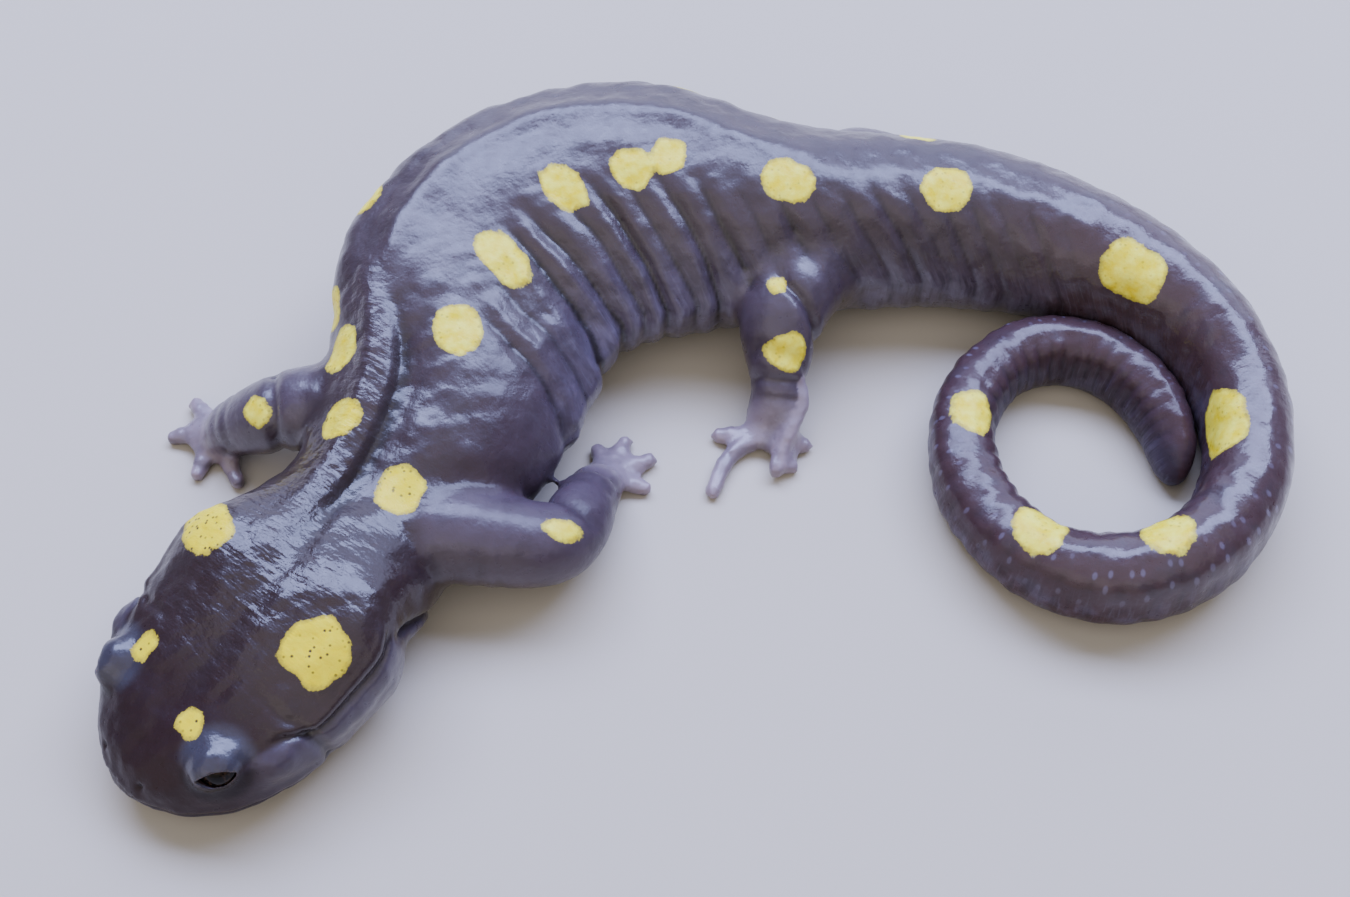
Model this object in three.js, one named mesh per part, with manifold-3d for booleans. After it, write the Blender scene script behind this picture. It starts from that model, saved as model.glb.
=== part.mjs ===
// Spotted salamander (Ambystoma maculatum), a life-size still model lying on its belly.
// Units are millimetres, +Z is up. The floor is z = 0 and the origin is the middle of the
// footprint. The body is one loft along a bent centreline, parted into lengths by thin gaps.
// "side" is measured across the centreline: positive is the animal's right, negative its left.

import * as THREE from 'three';
import { mergeVertices } from 'three/addons/utils/BufferGeometryUtils.js';
import Module from 'manifold-3d';

const wasm = await Module();
wasm.setup();

// ---------- driving dimensions ----------

const gap = 0.3; // clearance between neighbouring solids
const belly = 0.25; // depth by which the underside is pressed flat on the floor

// Centreline, seen from above, from the snout to the tip of the tail.
const snoutAt = { x: -45.5, y: -32, heading: 40.5 };
const footprintMiddle = { x: 0.15, y: -0.12 }; // brought to the origin at the end
const bends = [ // [length, turn in degrees, positive is anticlockwise]
  [20, 17], // head
  [14, 2], // neck
  [16, 18], // shoulders
  [10, -60], // fold behind the shoulders
  [10, -14],
  [20, -1], // straight loin
  [11, -22], // hips
  [11, -17.5], // from here on the tail curls round on itself
  [11, -38],
  [11, -35.5],
  [11, -48],
  [11, -64],
  [11, -45],
  [11, -55],
  [11, -89.5],
  [11, -43.5],
];
const bendSoftness = 8; // length over which one bend blends into the next
const bodyLength = bends.reduce((sum, [length]) => sum + length, 0);

// Cross-sections: distance from the snout, then half width, height of the back, underside,
// shift of the crest to the right, and the squareness of the upper and lower halves.
const stations = [
  { at: 0, half: 6.0, back: 6.6, under: 0.9, crest: 0, upper: 2.3, lower: 2.3 },
  { at: 4, half: 7.7, back: 8.2, under: 0.4, crest: 0, upper: 2.4, lower: 2.3 },
  { at: 10, half: 10.0, back: 10.0, under: 0, crest: 0, upper: 2.5, lower: 2.3 },
  { at: 18, half: 10.6, back: 12.0, under: 0, crest: 0, upper: 2.3, lower: 2.3 },
  { at: 28, half: 8.0, back: 11.0, under: 0, crest: 0.5, upper: 2.1, lower: 2.5 },
  { at: 36, half: 10.2, back: 12.5, under: 0, crest: 1.5, upper: 2.1, lower: 2.5 },
  { at: 50, half: 11.0, back: 15.5, under: 0, crest: 6.5, upper: 2.1, lower: 2.5 },
  { at: 66, half: 10.4, back: 17.0, under: 0, crest: 5.0, upper: 2.1, lower: 2.5 },
  { at: 82, half: 7.8, back: 15.5, under: 0, crest: 0, upper: 2.1, lower: 2.5 },
  { at: 98, half: 6.8, back: 13.6, under: 0, crest: 0, upper: 2.0, lower: 2.4 },
  { at: 114, half: 4.6, back: 11.6, under: 0, crest: 0, upper: 1.9, lower: 2.2 },
  { at: 128, half: 3.6, back: 10.2, under: 0, crest: 0, upper: 1.8, lower: 2.1 },
  { at: 148, half: 3.4, back: 8.4, under: 0, crest: 0, upper: 1.8, lower: 2.1 },
  { at: 160, half: 3.0, back: 6.7, under: 0, crest: 0, upper: 1.8, lower: 2.1 },
  { at: 172, half: 2.8, back: 6.4, under: 0, crest: 0.3, upper: 1.8, lower: 2.1 },
  { at: 186, half: 2.4, back: 6.3, under: 0, crest: 0.6, upper: 1.9, lower: 2.0 },
  { at: 195, half: 2.1, back: 5.4, under: 0, crest: 0.6, upper: 2.0, lower: 2.0 },
  { at: 200, half: 1.4, back: 3.8, under: 0, crest: 0.4, upper: 2.0, lower: 2.0 },
];
const beltShare = 0.45; // height of the widest line as a share of the section's height
const snoutRound = { length: 6, height: 2.8 }; // how far back the snout rounds off, and its tip
const tailRound = { length: 4, height: 1.8 };

// The body's lengths: name, from, to, rings along it, sides round it.
const lengths = [
  ['head', 0, 25, 15, 26],
  ['neck', 25, 34, 4, 28],
  ['trunk_front', 34, 52, 6, 28],
  ['trunk_middle', 52, 70, 8, 28],
  ['trunk_rear', 70, 94, 8, 28],
  ['tail_1', 94, 114, 7, 24],
  ['tail_2', 114, 134, 8, 22],
  ['tail_3', 134, 152, 8, 20],
  ['tail_4', 152, 170, 8, 18],
  ['tail_5', 170, 186, 8, 16],
  ['tail_6', 186, 200, 8, 16],
];

// Head: eyes and the swellings round them, one side; the other side is mirrored.
const eye = { at: 6.1, side: 6.2, height: 6.9, radius: 2.0 };
const lid = { at: 6.2, side: 5.5, height: 7.3, long: 3.1, across: 2.3, tall: 2.2 };
const bulges = [ // gentle swellings: along the head, out to the side, height, reach, rise
  { at: 20.0, side: 7.0, height: 9.5, reach: 4.6, rise: 0.9 }, // parotoid gland
  { at: 12.5, side: 9.4, height: 4.6, reach: 3.4, rise: 0.4 }, // cheek behind the eye
];

// Legs: joints as [x, y, z, half width, half thickness], then the toes as [heading, reach].
const legs = {
  right_front: {
    names: ['right_upper_arm', 'right_forearm', 'right_hand'],
    joints: [
      [-28.0, 0.2, 7.4, 3.6, 3.6],
      [-34.6, 0.0, 6.2, 3.6, 3.4],
      [-40.9, 0.5, 2.9, 2.8, 2.3],
      [-43.6, 1.1, 1.0, 2.0, 1.3],
    ],
    toes: [[118, 4.3], [184, 4.1], [262, 4.9], [302, 6.4]],
  },
  left_front: {
    names: ['left_upper_arm', 'left_forearm', 'left_hand'],
    joints: [
      [-23.5, -11.6, 6.2, 4.2, 4.2],
      [-13.3, -12.3, 5.2, 3.4, 3.4],
      [-10.3, -6.0, 2.8, 2.4, 2.2],
      [-9.5, -3.5, 1.0, 2.0, 1.3],
    ],
    toes: [[-12, 4.2], [28, 5.0], [64, 4.8], [100, 3.8]],
  },
  left_hind: {
    names: ['left_thigh', 'left_shin', 'left_foot'],
    joints: [
      [10.5, 17.0, 7.2, 4.4, 4.6],
      [5.9, 9.8, 7.0, 3.9, 3.7],
      [5.3, 3.4, 2.8, 2.4, 2.1],
      [4.6, 0.9, 1.0, 2.4, 1.3],
    ],
    toes: [[178, 5.1], [222, 8.0], [270, 4.9], [304, 4.4], [345, 4.0]],
  },
  right_hind: {
    names: ['right_thigh', 'right_shin', 'right_foot'],
    joints: [
      [9.5, 23.0, 6.8, 4.2, 4.6],
      [13.5, 28.8, 4.8, 3.2, 3.2],
      [19.0, 30.6, 2.7, 2.3, 2.0],
      [21.8, 30.8, 1.0, 2.3, 1.3],
    ],
    toes: [[78, 3.6], [44, 4.4], [14, 5.2], [-14, 5.0], [-50, 3.6]],
  },
};
const toe = { // radii, then heights of its middle line from the palm to the tip
  base: 0.95,
  tip: 0.7,
  root: 1.0, // starts this far out from the palm's middle
  heights: [0.9, 0.62, 0.5],
  sides: 6,
  rings: 3,
};
const limb = { sides: 12, rings: 4 };
const legSpan = { from: 26, to: 112, rings: 40, sides: 28 }; // the body that the legs spring from

const skin = { color: 0x3d3036, roughness: 0.35, metalness: 0 };
const paleSkin = { color: 0x6d6270, roughness: 0.4, metalness: 0 };
const eyeball = { color: 0x0b0807, roughness: 0.08, metalness: 0 };

// ---------- curves ----------

// A smooth curve through [place, value] pairs that never overshoots them.
function throughStations(places, values) {
  const count = places.length;
  const width = i => places[i + 1] - places[i];
  const rise = i => (values[i + 1] - values[i]) / width(i);
  const slopes = values.map((_, i) => {
    if (i === 0) return rise(0);
    if (i === count - 1) return rise(count - 2);
    const before = rise(i - 1);
    const after = rise(i);
    if (before * after <= 0) return 0;
    const first = 2 * width(i) + width(i - 1);
    const second = width(i) + 2 * width(i - 1);
    return (first + second) / (first / before + second / after);
  });
  return place => {
    let i = 0;
    while (i < count - 2 && place > places[i + 1]) i += 1;
    const step = width(i);
    const t = THREE.MathUtils.clamp((place - places[i]) / step, 0, 1);
    const startShare = (1 + 2 * t) * (1 - t) * (1 - t);
    const endShare = t * t * (3 - 2 * t);
    const startSlope = t * (1 - t) * (1 - t) * step * slopes[i];
    const endSlope = t * t * (t - 1) * step * slopes[i + 1];
    return startShare * values[i] + endShare * values[i + 1] + startSlope + endSlope;
  };
}

// The centreline: turns are spread evenly, blended twice over bendSoftness, then summed up.
function makeCentreline() {
  const step = 0.5;
  const count = Math.round(bodyLength / step);
  const reach = Math.round(bendSoftness / step / 2);
  const ends = bends.map((_, i) => bends.slice(0, i + 1).reduce((sum, [length]) => sum + length, 0));
  let rate = Array.from({ length: count }, (_, i) => {
    const [length, turn] = bends[ends.findIndex(end => (i + 0.5) * step < end)];
    return turn / length;
  });
  const blend = list => list.map((_, i) => {
    let sum = 0;
    for (let k = -reach; k <= reach; k += 1) {
      sum += list[THREE.MathUtils.clamp(i + k, 0, count - 1)];
    }
    return sum / (2 * reach + 1);
  });
  rate = blend(blend(rate));
  const points = [{ x: snoutAt.x, y: snoutAt.y, heading: snoutAt.heading }];
  for (let i = 0; i < count; i += 1) {
    const last = points[i];
    const middle = THREE.MathUtils.degToRad(last.heading + rate[i] * step / 2);
    points.push({
      x: last.x + Math.cos(middle) * step,
      y: last.y + Math.sin(middle) * step,
      heading: last.heading + rate[i] * step,
    });
  }
  return place => {
    const index = THREE.MathUtils.clamp(place / step, 0, count - 1e-6);
    const i = Math.floor(index);
    const t = index - i;
    const mix = key => THREE.MathUtils.lerp(points[i][key], points[i + 1][key], t);
    return { x: mix('x'), y: mix('y'), heading: THREE.MathUtils.degToRad(mix('heading')) };
  };
}

const centreline = makeCentreline();
const profile = {};
for (const key of ['half', 'back', 'under', 'crest', 'upper', 'lower']) {
  profile[key] = throughStations(stations.map(item => item.at), stations.map(item => item[key]));
}

// 0 at an end of the body, rising to 1 over the given length as a quarter of an ellipse.
function roundOff(distance, length) {
  const t = 1 - Math.min(1, Math.max(0, distance) / length);
  return Math.sqrt(1 - t * t);
}

// ---------- the body ----------

// The point on the body's surface at a distance from the snout and an angle round the section,
// 0 on the right and a quarter turn on the back. inside draws it in towards the middle from 1
// to 0, and grow moves the surface out.
function bodyPoint(place, angle, inside, grow) {
  const { x, y, heading } = centreline(place);
  const nose = roundOff(place + 0.05, snoutRound.length);
  const tip = roundOff(bodyLength - place + 0.05, tailRound.length);
  const half = profile.half(place) * nose * tip + grow;
  const drawIn = height => {
    const atNose = THREE.MathUtils.lerp(snoutRound.height, height, nose);
    return THREE.MathUtils.lerp(tailRound.height, atNose, tip);
  };
  const back = drawIn(profile.back(place)) + grow;
  const under = drawIn(profile.under(place) - belly) - grow;
  const belt = under + (back - under) * beltShare;
  const power = Math.sin(angle) >= 0 ? profile.upper(place) : profile.lower(place);
  const across = Math.sign(Math.cos(angle)) * Math.abs(Math.cos(angle)) ** (2 / power);
  const upward = Math.sign(Math.sin(angle)) * Math.abs(Math.sin(angle)) ** (2 / power);
  const reach = upward >= 0 ? back - belt : belt - under;
  let side = across * half + Math.max(0, upward) * profile.crest(place);
  let height = belt + upward * reach;
  for (const bulge of bulges) {
    const away = Math.hypot(place - bulge.at, Math.abs(side) - bulge.side, height - bulge.height);
    const rise = bulge.rise * Math.exp(-((away / bulge.reach) ** 2));
    side += Math.cos(angle) * rise;
    height += Math.sin(angle) * rise;
  }
  side *= inside;
  height = belt + (height - belt) * inside;
  return new THREE.Vector3(
    x - Math.sin(heading) * side,
    y + Math.cos(heading) * side,
    Math.max(height, grow > 0 ? -1 : 0),
  );
}

// A closed cylinder bent into the stretch of body between two distances from the snout.
function bodyLengthSolid(from, to, rings, sides, grow = 0) {
  const geometry = new THREE.CylinderGeometry(1, 1, 1, sides, rings, false);
  const positions = geometry.attributes.position;
  for (let i = 0; i < positions.count; i += 1) {
    const across = positions.getX(i);
    const upward = positions.getZ(i);
    let share = 0.5 - positions.getY(i);
    if (from === 0) share = 1 - Math.cos(share * Math.PI / 2);
    if (to === bodyLength) share = Math.sin(share * Math.PI / 2);
    const place = THREE.MathUtils.lerp(from, to, share);
    const inside = Math.min(1, Math.hypot(across, upward));
    const point = bodyPoint(place, Math.atan2(upward, across), inside, grow);
    positions.setXYZ(i, point.x, point.y, point.z);
  }
  return toSolid(geometry);
}

// ---------- solids ----------

function toSolid(geometry) {
  const bare = geometry.clone();
  bare.deleteAttribute('normal');
  bare.deleteAttribute('uv');
  const merged = mergeVertices(bare, 1e-4);
  return new wasm.Manifold(new wasm.Mesh({
    numProp: 3,
    vertProperties: merged.attributes.position.array,
    triVerts: new Uint32Array(merged.index.array),
  }));
}

// Drops the slivers that a cut leaves behind.
function largestPart(solid) {
  return solid.decompose().reduce((best, part) => (part.volume() > best.volume() ? part : best));
}

function toGeometry(solid) {
  const mesh = solid.getMesh();
  const geometry = new THREE.BufferGeometry();
  geometry.setAttribute('position', new THREE.BufferAttribute(mesh.vertProperties, 3));
  geometry.setIndex(new THREE.BufferAttribute(mesh.triVerts, 1));
  return geometry;
}

// An egg shape set on the head, its long axis along the centreline.
function eggSolid({ at, side, height, long, across, tall }, hand) {
  const { x, y, heading } = centreline(at);
  const geometry = new THREE.SphereGeometry(1, 12, 9);
  geometry.scale(long, across, tall);
  geometry.rotateZ(heading);
  geometry.translate(x - Math.sin(heading) * side * hand, y + Math.cos(heading) * side * hand, height);
  return toSolid(geometry);
}

function eyeSolid(hand, radius) {
  return eggSolid({ ...eye, long: radius, across: radius, tall: radius }, hand);
}

// ---------- legs ----------

// A tapering limb along a curve, cut square at both ends of its share of the curve.
function limbSolid(curve, halfWidth, halfThickness, from, to, rings, sides, roundEnd = false) {
  const flatUnder = Math.PI / sides; // turns the section until one of its faces looks down
  const geometry = new THREE.CylinderGeometry(1, 1, 1, sides, rings, false, flatUnder);
  const positions = geometry.attributes.position;
  const vertical = new THREE.Vector3(0, 0, 1);
  for (let i = 0; i < positions.count; i += 1) {
    let along = 0.5 - positions.getY(i);
    if (roundEnd) along = Math.sin(along * Math.PI / 2);
    const share = THREE.MathUtils.lerp(from, to, along);
    const centre = curve.getPointAt(share);
    const forward = curve.getTangentAt(share);
    const sideways = new THREE.Vector3().crossVectors(vertical, forward).normalize();
    const upward = new THREE.Vector3().crossVectors(forward, sideways);
    const reach = curve.getLength() * (to - share);
    const end = roundEnd ? roundOff(reach + 0.04, halfWidth(1)) : 1;
    centre.addScaledVector(sideways, positions.getX(i) * halfWidth(share) * end);
    centre.addScaledVector(upward, positions.getZ(i) * halfThickness(share) * end);
    positions.setXYZ(i, centre.x, centre.y, Math.max(0, centre.z));
  }
  return toSolid(geometry);
}

function toeSolid(palm, [heading, reach]) {
  const angle = THREE.MathUtils.degToRad(heading);
  const distances = [toe.root, reach / 2, reach];
  const curve = new THREE.CatmullRomCurve3(distances.map((distance, i) => new THREE.Vector3(
    palm.x + Math.cos(angle) * distance,
    palm.y + Math.sin(angle) * distance,
    toe.heights[i],
  )));
  const radius = share => THREE.MathUtils.lerp(toe.base, toe.tip, share);
  return limbSolid(curve, radius, radius, 0, 1, toe.rings, toe.sides, true);
}

function legSolids({ names, joints, toes }) {
  const curve = new THREE.CatmullRomCurve3(joints.map(([x, y, z]) => new THREE.Vector3(x, y, z)));
  const total = curve.getLength();
  const perJoint = 20; // steps by which the curve is measured from one joint to the next
  const lengthsSoFar = curve.getLengths(perJoint * (joints.length - 1));
  const jointShares = joints.map((_, i) => lengthsSoFar[i * perJoint] / total);
  const halfWidth = throughStations(jointShares, joints.map(joint => joint[3]));
  const halfThickness = throughStations(jointShares, joints.map(joint => joint[4]));
  const piece = (from, to, grow = 0) => limbSolid(
    curve,
    share => halfWidth(share) + grow,
    share => halfThickness(share) + grow,
    from,
    Math.min(1, to + grow / total),
    limb.rings,
    limb.sides,
  );
  const [, middle, end] = jointShares;
  const palm = curve.getPointAt(1);
  const upper = piece(0, middle);
  const lower = piece(middle, end).subtract(piece(0, middle, gap));
  const toesAndPalm = toes.reduce((solid, item) => solid.add(toeSolid(palm, item)), piece(end, 1));
  const foot = toesAndPalm.subtract(piece(middle, end, gap));
  return [[names[0], upper], [names[1], lower], [names[2], foot]];
}

// ---------- assembly ----------

const salamander = new THREE.Group();
salamander.position.set(-footprintMiddle.x, -footprintMiddle.y, 0);

function addPiece(name, solid, look) {
  const mesh = new THREE.Mesh(toGeometry(solid), new THREE.MeshStandardMaterial(look));
  mesh.name = name;
  salamander.add(mesh);
}

for (const [name, from, to, rings, sides] of lengths) {
  const start = from === 0 ? from : from + gap / 2;
  const end = to === bodyLength ? to : to - gap / 2;
  let solid = bodyLengthSolid(start, end, rings, sides);
  if (name === 'head') {
    for (const hand of [1, -1]) {
      solid = solid.add(eggSolid(lid, hand)).subtract(eyeSolid(hand, eye.radius + gap));
    }
  }
  addPiece(name, solid, skin);
}

addPiece('right_eye', eyeSolid(1, eye.radius), eyeball);
addPiece('left_eye', eyeSolid(-1, eye.radius), eyeball);

const clearOfBody = bodyLengthSolid(legSpan.from, legSpan.to, legSpan.rings, legSpan.sides, gap);
for (const leg of Object.values(legs)) {
  for (const [name, solid] of legSolids(leg)) {
    const look = /hand|foot/.test(name) ? paleSkin : skin;
    addPiece(name, largestPart(solid.subtract(clearOfBody)), look);
  }
}

export default salamander;
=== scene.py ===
import math

import bmesh
import bpy
import numpy as np
from mathutils import Matrix, Vector


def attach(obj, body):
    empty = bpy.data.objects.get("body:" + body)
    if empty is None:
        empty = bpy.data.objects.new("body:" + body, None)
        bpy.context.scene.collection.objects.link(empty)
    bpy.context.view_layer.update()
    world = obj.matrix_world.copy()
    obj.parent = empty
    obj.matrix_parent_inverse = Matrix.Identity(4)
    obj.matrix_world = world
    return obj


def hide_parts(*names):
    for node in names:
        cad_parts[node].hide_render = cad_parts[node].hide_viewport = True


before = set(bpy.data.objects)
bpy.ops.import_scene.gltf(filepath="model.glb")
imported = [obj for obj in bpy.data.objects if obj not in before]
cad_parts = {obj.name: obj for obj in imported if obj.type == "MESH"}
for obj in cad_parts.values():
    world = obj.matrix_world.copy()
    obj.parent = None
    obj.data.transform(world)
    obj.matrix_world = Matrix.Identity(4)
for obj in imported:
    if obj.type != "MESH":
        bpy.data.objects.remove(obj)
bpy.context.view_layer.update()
print("frame loaded:", len(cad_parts), "nodes")

mm = 0.001  # shapes are worked out in millimetres and scaled to metres at the end


# small helpers

def toLinear(hexColour):
    channels = [int(hexColour[i:i + 2], 16) / 255 for i in (1, 3, 5)]
    return [c / 12.92 if c <= 0.04045 else ((c + 0.055) / 1.055) ** 2.4 for c in channels] + [1.0]


def addNode(tree, kind, settings=None, inputs=None):
    node = tree.nodes.new(kind)
    for name, value in (settings or {}).items():
        setattr(node, name, value)
    for name, value in (inputs or {}).items():
        if isinstance(value, bpy.types.NodeSocket):
            tree.links.new(value, node.inputs[name])
        else:
            node.inputs[name].default_value = value
    return node


def newMaterial(name):
    material = bpy.data.materials.new(name)
    material.use_nodes = True
    material.node_tree.nodes.clear()
    return material, material.node_tree


def makeObject(name, bm, smooth=False):
    mesh = bpy.data.meshes.new(name)
    bm.to_mesh(mesh)
    bm.free()
    for face in mesh.polygons:
        face.use_smooth = smooth
    obj = bpy.data.objects.new(name, mesh)
    bpy.context.scene.collection.objects.link(obj)
    return obj


def rowsOf(collection, key):  # three numbers for each vertex
    flat = np.empty(len(collection) * 3)
    collection.foreach_get(key, flat)
    return flat.reshape(-1, 3)


def smoothStep(low, high, value):
    t = np.clip((value - low) / (high - low), 0, 1)
    return t * t * (3 - 2 * t)


def bump(value, middle, width):
    return np.exp(-((value - middle) / width) ** 2)


def throughStations(places, values):  # a smooth curve that never overshoots its stations
    places, values = np.array(places, float), np.array(values, float)
    widths = np.diff(places)
    rises = np.diff(values) / widths
    slopes = np.zeros(len(places))
    slopes[0], slopes[-1] = rises[0], rises[-1]
    for i in range(1, len(places) - 1):
        before, after = rises[i - 1], rises[i]
        if before * after > 0:
            first = 2 * widths[i] + widths[i - 1]
            second = widths[i] + 2 * widths[i - 1]
            slopes[i] = (first + second) / (first / before + second / after)

    def curve(place):
        i = np.clip(np.searchsorted(places, place, side="right") - 1, 0, len(places) - 2)
        t = np.clip((place - places[i]) / widths[i], 0, 1)
        value = (1 + 2 * t) * (1 - t) ** 2 * values[i] + t * t * (3 - 2 * t) * values[i + 1]
        value += t * (1 - t) ** 2 * widths[i] * slopes[i]
        return value + t * t * (t - 1) * widths[i] * slopes[i + 1]
    return curve


# the body's form: the same named sizes as the solids

form = {
    "footprintMiddle": (0.15, -0.12),
    "snout": (-45.5, -32.0, 40.5),  # x, y, heading
    "bends": [  # length, turn in degrees
        (20, 17), (14, 2), (16, 18), (10, -60), (10, -14), (20, -1), (11, -22), (11, -17.5),
        (11, -38), (11, -35.5), (11, -48), (11, -64), (11, -45), (11, -55), (11, -89.5), (11, -43.5),
    ],
    "bendSoftness": 8,
    "uncurledFrom": 108,  # the tail is shaped straight from here on and curled at the end
    "stations": [  # place, half width, back, underside, crest shift, squareness above and below
        (0, 6.0, 6.6, 0.9, 0, 2.3, 2.3), (4, 7.7, 8.2, 0.4, 0, 2.4, 2.3), (10, 10, 10, 0, 0, 2.5, 2.3),
        (18, 10.6, 12, 0, 0, 2.3, 2.3), (28, 8, 11, 0, 0.5, 2.1, 2.5), (36, 10.2, 12.5, 0, 1.5, 2.1, 2.5),
        (50, 11, 15.5, 0, 6.5, 2.1, 2.5), (66, 10.4, 17, 0, 5, 2.1, 2.5), (82, 7.8, 15.5, 0, 0, 2.1, 2.5),
        (98, 6.8, 13.6, 0, 0, 2, 2.4), (114, 4.6, 11.6, 0, 0, 1.9, 2.2), (128, 3.6, 10.2, 0, 0, 1.8, 2.1),
        (148, 3.4, 8.4, 0, 0, 1.8, 2.1), (160, 3, 6.7, 0, 0, 1.8, 2.1), (172, 2.8, 6.4, 0, 0.3, 1.8, 2.1),
        (186, 2.4, 6.3, 0, 0.6, 1.9, 2), (195, 2.1, 5.4, 0, 0.6, 2, 2), (200, 1.4, 3.8, 0, 0.4, 2, 2),
    ],
    "belly": 0.25,  # how far the belly sags below its stations
    "beltShare": 0.45,  # height of the widest line
    "snoutRound": (6, 2.8),  # length and height of the rounding
    "tailRound": (3, 1.8),
    "sides": 56, "rings": 260, "crowding": 0.7,  # how much closer the rings stand at the ends
}
bodyLength = sum(length for length, turn in form["bends"])
profile = {
    key: throughStations([s[0] for s in form["stations"]], [s[i + 1] for s in form["stations"]])
    for i, key in enumerate(["half", "back", "under", "crest", "upper", "lower"])
}


def makeCentreline(straightFrom=None):
    step = 0.5
    count = round(bodyLength / step)
    ends = np.cumsum([length for length, turn in form["bends"]])
    rate = np.zeros(count)
    for i in range(count):
        length, turn = form["bends"][int(np.searchsorted(ends, (i + 0.5) * step, side="right"))]
        rate[i] = turn / length
    reach = round(form["bendSoftness"] / step / 2)
    for _ in range(2):
        padded = np.pad(rate, reach, mode="edge")
        rate = np.convolve(padded, np.ones(2 * reach + 1) / (2 * reach + 1), mode="valid")
    if straightFrom is not None:
        rate[round(straightFrom / step):] = 0
    x, y, heading = form["snout"]
    headings = heading + np.concatenate([[0], np.cumsum(rate * step)])
    middles = np.radians(headings[:-1] + rate * step / 2)
    dx, dy = form["footprintMiddle"]
    return {
        "place": np.arange(count + 1) * step,
        "x": x - dx + np.concatenate([[0], np.cumsum(np.cos(middles) * step)]),
        "y": y - dy + np.concatenate([[0], np.cumsum(np.sin(middles) * step)]),
        "heading": np.radians(headings),
    }


curled = makeCentreline()
uncurled = makeCentreline(form["uncurledFrom"])


def centreAt(line, place):
    x, y, heading = (np.interp(place, line["place"], line[key]) for key in ("x", "y", "heading"))
    beyond = np.minimum(place, 0) + np.maximum(place - bodyLength, 0)
    return x + np.cos(heading) * beyond, y + np.sin(heading) * beyond, heading


def signedPower(value, power):
    return np.sign(value) * np.abs(value) ** power


def roundOff(distance, length):
    t = 1 - np.minimum(1, np.maximum(0, distance) / length)
    return np.sqrt(1 - t * t)


def sectionAt(place):  # half width, back, underside, belt height and squareness at a place
    nose = roundOff(place + 0.05, form["snoutRound"][0])
    tip = roundOff(bodyLength - place + 0.05, form["tailRound"][0])
    half = profile["half"](place) * nose * tip
    heights = []
    for height in (profile["back"](place), profile["under"](place) - form["belly"]):
        height = form["snoutRound"][1] + (height - form["snoutRound"][1]) * nose
        heights.append(form["tailRound"][1] + (height - form["tailRound"][1]) * tip)
    back, under = heights
    return half, back, under, under + (back - under) * form["beltShare"]


def bodyPoint(line, place, angle):  # angle 0 is the right side, a quarter turn the back
    place, angle = np.broadcast_arrays(np.asarray(place, float), np.asarray(angle, float))
    x, y, heading = centreAt(line, place)
    half, back, under, belt = sectionAt(place)
    power = np.where(np.sin(angle) >= 0, profile["upper"](place), profile["lower"](place))
    across = signedPower(np.cos(angle), 2 / power)
    upward = signedPower(np.sin(angle), 2 / power)
    side = across * half + np.maximum(0, upward) * profile["crest"](place)
    height = belt + upward * np.where(upward >= 0, back - belt, belt - under)
    return np.stack([x - np.sin(heading) * side, y + np.cos(heading) * side, np.maximum(height, 0)], -1)


def bodyCoordinates(line, points):  # the way back: place, side, angle and share of the radius
    place = np.zeros(len(points))
    batch = 4000  # points looked up at a time, to save memory
    for start in range(0, len(points), batch):
        part = points[start:start + batch]
        away = (part[:, :1] - line["x"]) ** 2 + (part[:, 1:2] - line["y"]) ** 2
        place[start:start + batch] = line["place"][np.argmin(away, axis=1)]
    bend = np.interp(place, line["place"], np.gradient(line["heading"], line["place"]))
    for _ in range(2):
        x, y, heading = centreAt(line, place)
        along = (points[:, 0] - x) * np.cos(heading) + (points[:, 1] - y) * np.sin(heading)
        side = (points[:, 1] - y) * np.cos(heading) - (points[:, 0] - x) * np.sin(heading)
        place = place + along / np.maximum(0.25, 1 - bend * side)
    inside = np.clip(place, 0.3, bodyLength - 0.3)
    half, back, under, belt = sectionAt(inside)
    height = points[:, 2]
    upward = np.where(height >= belt, (height - belt) / (back - belt), (height - belt) / (belt - under))
    across = (side - np.maximum(0, upward) * profile["crest"](inside)) / half
    power = np.where(upward >= 0, profile["upper"](inside), profile["lower"](inside))
    share = (np.abs(upward) ** power + np.abs(across) ** power) ** (1 / power)
    angle = np.degrees(np.arctan2(signedPower(upward, power / 2), signedPower(across, power / 2)))
    angle = np.where(angle < -90, angle + 360, angle)  # -90 to 270, with the seam on the belly
    return {
        "place": place, "side": side, "angle": angle, "share": share, "height": height,
        "half": half, "depth": (share - 1) * np.minimum(half, (back - under) / 2),
    }


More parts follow.
